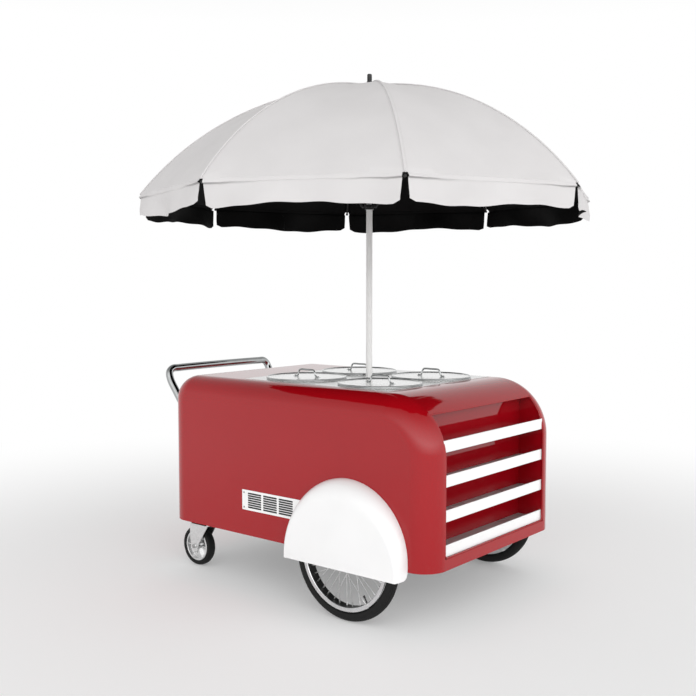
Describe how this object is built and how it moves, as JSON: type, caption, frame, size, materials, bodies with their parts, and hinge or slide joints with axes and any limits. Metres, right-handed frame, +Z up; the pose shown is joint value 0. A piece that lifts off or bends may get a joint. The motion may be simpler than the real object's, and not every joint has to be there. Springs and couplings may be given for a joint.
{
  "type": "ice cream push cart",
  "caption": "Ice-cream push cart: rounded red body with lidded cold wells, open display shelves, spoked wheels under fenders, swivel casters, push bar and a folding parasol.",
  "frame": {"origin": "on the ground under the parasol mast", "axes": "+X to the display-shelf end, +Y to the left side, +Z up"},
  "size_m": [2.008, 2.008, 2.25],
  "materials": {
    "red_paint": "high gloss, clear coated",
    "white_enamel": "gloss white enamel",
    "stainless": "fine brushed",
    "chrome": "polished",
    "zinc": "satin plated",
    "chassis_paint": "satin black",
    "tyre_rubber": "matt",
    "mast_white": "satin white",
    "frame_black": "satin",
    "canopy_cloth": "woven polyester, black coated underside"
  },
  "bodies": {
    "cart": {"body_shell": "red_paint", "chassis": "chassis_paint", "display_liner": "red_paint", "shelf_1": "white_enamel", "shelf_2": "white_enamel", "shelf_3": "white_enamel", "shelf_4": "white_enamel", "worktop": "stainless", "cold_tank": "white_enamel", "tub_1": "stainless", "tub_2": "stainless", "tub_3": "stainless", "tub_4": "stainless", "vent_grille_right": "white_enamel", "vent_grille_left": "white_enamel", "push_handle": "chrome", "fender_left": "white_enamel", "fender_right": "white_enamel", "axle": "zinc", "condensing_unit": "chassis_paint", "caster_plate_right": "zinc", "caster_plate_left": "zinc", "mast_socket": "stainless"},
    "road_wheel_right": {"tyre_right": "tyre_rubber", "rim_right": "zinc", "hub_spokes_right": "zinc"},
    "road_wheel_left": {"tyre_left": "tyre_rubber", "rim_left": "zinc", "hub_spokes_left": "zinc"},
    "caster_swivel_right": {"caster_fork_right": "zinc"},
    "caster_roller_right": {"caster_wheel_right": "zinc", "caster_tyre_right": "tyre_rubber"},
    "caster_swivel_left": {"caster_fork_left": "zinc"},
    "caster_roller_left": {"caster_wheel_left": "zinc", "caster_tyre_left": "tyre_rubber"},
    "lid_unit_1": {"lid_1": "stainless"},
    "lid_unit_2": {"lid_2": "stainless"},
    "lid_unit_3": {"lid_3": "stainless"},
    "lid_unit_4": {"lid_4": "stainless"},
    "parasol": {"parasol_mast": "mast_white", "parasol_crown": "frame_black", "parasol_finial": "frame_black", "canopy": "canopy_cloth"},
    "runner": {"parasol_runner": "frame_black"},
    "rib_arm_1": {"rib_1": "frame_black"},
    "stretcher_arm_1": {"stretcher_1": "frame_black"},
    "rib_arm_2": {"rib_2": "frame_black"},
    "stretcher_arm_2": {"stretcher_2": "frame_black"},
    "rib_arm_3": {"rib_3": "frame_black"},
    "stretcher_arm_3": {"stretcher_3": "frame_black"},
    "rib_arm_4": {"rib_4": "frame_black"},
    "stretcher_arm_4": {"stretcher_4": "frame_black"},
    "rib_arm_5": {"rib_5": "frame_black"},
    "stretcher_arm_5": {"stretcher_5": "frame_black"},
    "rib_arm_6": {"rib_6": "frame_black"},
    "stretcher_arm_6": {"stretcher_6": "frame_black"},
    "rib_arm_7": {"rib_7": "frame_black"},
    "stretcher_arm_7": {"stretcher_7": "frame_black"},
    "rib_arm_8": {"rib_8": "frame_black"},
    "stretcher_arm_8": {"stretcher_8": "frame_black"}
  },
  "joints": [
    {"name": "road_wheel_spin_right", "type": "hinge", "parent": "cart", "child": "road_wheel_right", "pos_m": [0.296, -0.5215, 0.253], "axis": [0, 1, 0], "continuous": true},
    {"name": "road_wheel_spin_left", "type": "hinge", "parent": "cart", "child": "road_wheel_left", "pos_m": [0.296, 0.5215, 0.253], "axis": [0, 1, 0], "continuous": true},
    {"name": "caster_turn_right", "type": "hinge", "parent": "cart", "child": "caster_swivel_right", "pos_m": [-0.68, -0.374, 0.21], "axis": [0, 0, 1], "continuous": true},
    {"name": "caster_roll_right", "type": "hinge", "parent": "caster_swivel_right", "child": "caster_roller_right", "pos_m": [-0.726, -0.374, 0.093], "axis": [0, 1, 0], "continuous": true},
    {"name": "caster_turn_left", "type": "hinge", "parent": "cart", "child": "caster_swivel_left", "pos_m": [-0.68, 0.374, 0.21], "axis": [0, 0, 1], "continuous": true},
    {"name": "caster_roll_left", "type": "hinge", "parent": "caster_swivel_left", "child": "caster_roller_left", "pos_m": [-0.726, 0.374, 0.093], "axis": [0, 1, 0], "continuous": true},
    {"name": "lid_lift_1", "type": "slide", "parent": "cart", "child": "lid_unit_1", "axis": [0, 0, 1], "range_m": [0, 0.25]},
    {"name": "lid_lift_2", "type": "slide", "parent": "cart", "child": "lid_unit_2", "axis": [0, 0, 1], "range_m": [0, 0.25]},
    {"name": "lid_lift_3", "type": "slide", "parent": "cart", "child": "lid_unit_3", "axis": [0, 0, 1], "range_m": [0, 0.25]},
    {"name": "lid_lift_4", "type": "slide", "parent": "cart", "child": "lid_unit_4", "axis": [0, 0, 1], "range_m": [0, 0.25]},
    {"name": "parasol_lift", "type": "slide", "parent": "cart", "child": "parasol", "axis": [0, 0, 1], "range_m": [0, 0.22]},
    {"name": "parasol_close", "type": "slide", "parent": "parasol", "child": "runner", "axis": [0, 0, 1], "range_m": [-0.4587, 0], "deforming": ["canopy"]},
    {"name": "rib_fold_1", "type": "hinge", "parent": "parasol", "child": "rib_arm_1", "pos_m": [0.03, 0, 2.18065], "axis": [0, 1, 0], "range_deg": [0, 59.1]},
    {"name": "stretcher_fold_1", "type": "hinge", "parent": "runner", "child": "stretcher_arm_1", "pos_m": [0.03, 0, 1.668], "axis": [0, 1, 0], "range_deg": [-29.75, 0]},
    {"name": "rib_fold_2", "type": "hinge", "parent": "parasol", "child": "rib_arm_2", "pos_m": [0.02121, 0.02121, 2.18065], "axis": [-0.7071, 0.7071, 0], "range_deg": [0, 59.1]},
    {"name": "stretcher_fold_2", "type": "hinge", "parent": "runner", "child": "stretcher_arm_2", "pos_m": [0.02121, 0.02121, 1.668], "axis": [-0.7071, 0.7071, 0], "range_deg": [-29.75, 0]},
    {"name": "rib_fold_3", "type": "hinge", "parent": "parasol", "child": "rib_arm_3", "pos_m": [0, 0.03, 2.18065], "axis": [-1, 0, 0], "range_deg": [0, 59.1]},
    {"name": "stretcher_fold_3", "type": "hinge", "parent": "runner", "child": "stretcher_arm_3", "pos_m": [0, 0.03, 1.668], "axis": [-1, 0, 0], "range_deg": [-29.75, 0]},
    {"name": "rib_fold_4", "type": "hinge", "parent": "parasol", "child": "rib_arm_4", "pos_m": [-0.02121, 0.02121, 2.18065], "axis": [-0.7071, -0.7071, 0], "range_deg": [0, 59.1]},
    {"name": "stretcher_fold_4", "type": "hinge", "parent": "runner", "child": "stretcher_arm_4", "pos_m": [-0.02121, 0.02121, 1.668], "axis": [-0.7071, -0.7071, 0], "range_deg": [-29.75, 0]},
    {"name": "rib_fold_5", "type": "hinge", "parent": "parasol", "child": "rib_arm_5", "pos_m": [-0.03, 0, 2.18065], "axis": [0, -1, 0], "range_deg": [0, 59.1]},
    {"name": "stretcher_fold_5", "type": "hinge", "parent": "runner", "child": "stretcher_arm_5", "pos_m": [-0.03, 0, 1.668], "axis": [0, -1, 0], "range_deg": [-29.75, 0]},
    {"name": "rib_fold_6", "type": "hinge", "parent": "parasol", "child": "rib_arm_6", "pos_m": [-0.02121, -0.02121, 2.18065], "axis": [0.7071, -0.7071, 0], "range_deg": [0, 59.1]},
    {"name": "stretcher_fold_6", "type": "hinge", "parent": "runner", "child": "stretcher_arm_6", "pos_m": [-0.02121, -0.02121, 1.668], "axis": [0.7071, -0.7071, 0], "range_deg": [-29.75, 0]},
    {"name": "rib_fold_7", "type": "hinge", "parent": "parasol", "child": "rib_arm_7", "pos_m": [0, -0.03, 2.18065], "axis": [1, 0, 0], "range_deg": [0, 59.1]},
    {"name": "stretcher_fold_7", "type": "hinge", "parent": "runner", "child": "stretcher_arm_7", "pos_m": [0, -0.03, 1.668], "axis": [1, 0, 0], "range_deg": [-29.75, 0]},
    {"name": "rib_fold_8", "type": "hinge", "parent": "parasol", "child": "rib_arm_8", "pos_m": [0.02121, -0.02121, 2.18065], "axis": [0.7071, 0.7071, 0], "range_deg": [0, 59.1]},
    {"name": "stretcher_fold_8", "type": "hinge", "parent": "runner", "child": "stretcher_arm_8", "pos_m": [0.02121, -0.02121, 1.668], "axis": [0.7071, 0.7071, 0], "range_deg": [-29.75, 0]}
  ],
  "couplings": [
    {"joint": "rib_fold_1", "follows": "parasol_close", "rad_per_m": -2.2447},
    {"joint": "stretcher_fold_1", "follows": "parasol_close", "rad_per_m": 1.1281},
    {"joint": "rib_fold_2", "follows": "parasol_close", "rad_per_m": -2.2447},
    {"joint": "stretcher_fold_2", "follows": "parasol_close", "rad_per_m": 1.1281},
    {"joint": "rib_fold_3", "follows": "parasol_close", "rad_per_m": -2.2447},
    {"joint": "stretcher_fold_3", "follows": "parasol_close", "rad_per_m": 1.1281},
    {"joint": "rib_fold_4", "follows": "parasol_close", "rad_per_m": -2.2447},
    {"joint": "stretcher_fold_4", "follows": "parasol_close", "rad_per_m": 1.1281},
    {"joint": "rib_fold_5", "follows": "parasol_close", "rad_per_m": -2.2447},
    {"joint": "stretcher_fold_5", "follows": "parasol_close", "rad_per_m": 1.1281},
    {"joint": "rib_fold_6", "follows": "parasol_close", "rad_per_m": -2.2447},
    {"joint": "stretcher_fold_6", "follows": "parasol_close", "rad_per_m": 1.1281},
    {"joint": "rib_fold_7", "follows": "parasol_close", "rad_per_m": -2.2447},
    {"joint": "stretcher_fold_7", "follows": "parasol_close", "rad_per_m": 1.1281},
    {"joint": "rib_fold_8", "follows": "parasol_close", "rad_per_m": -2.2447},
    {"joint": "stretcher_fold_8", "follows": "parasol_close", "rad_per_m": 1.1281}
  ]
}
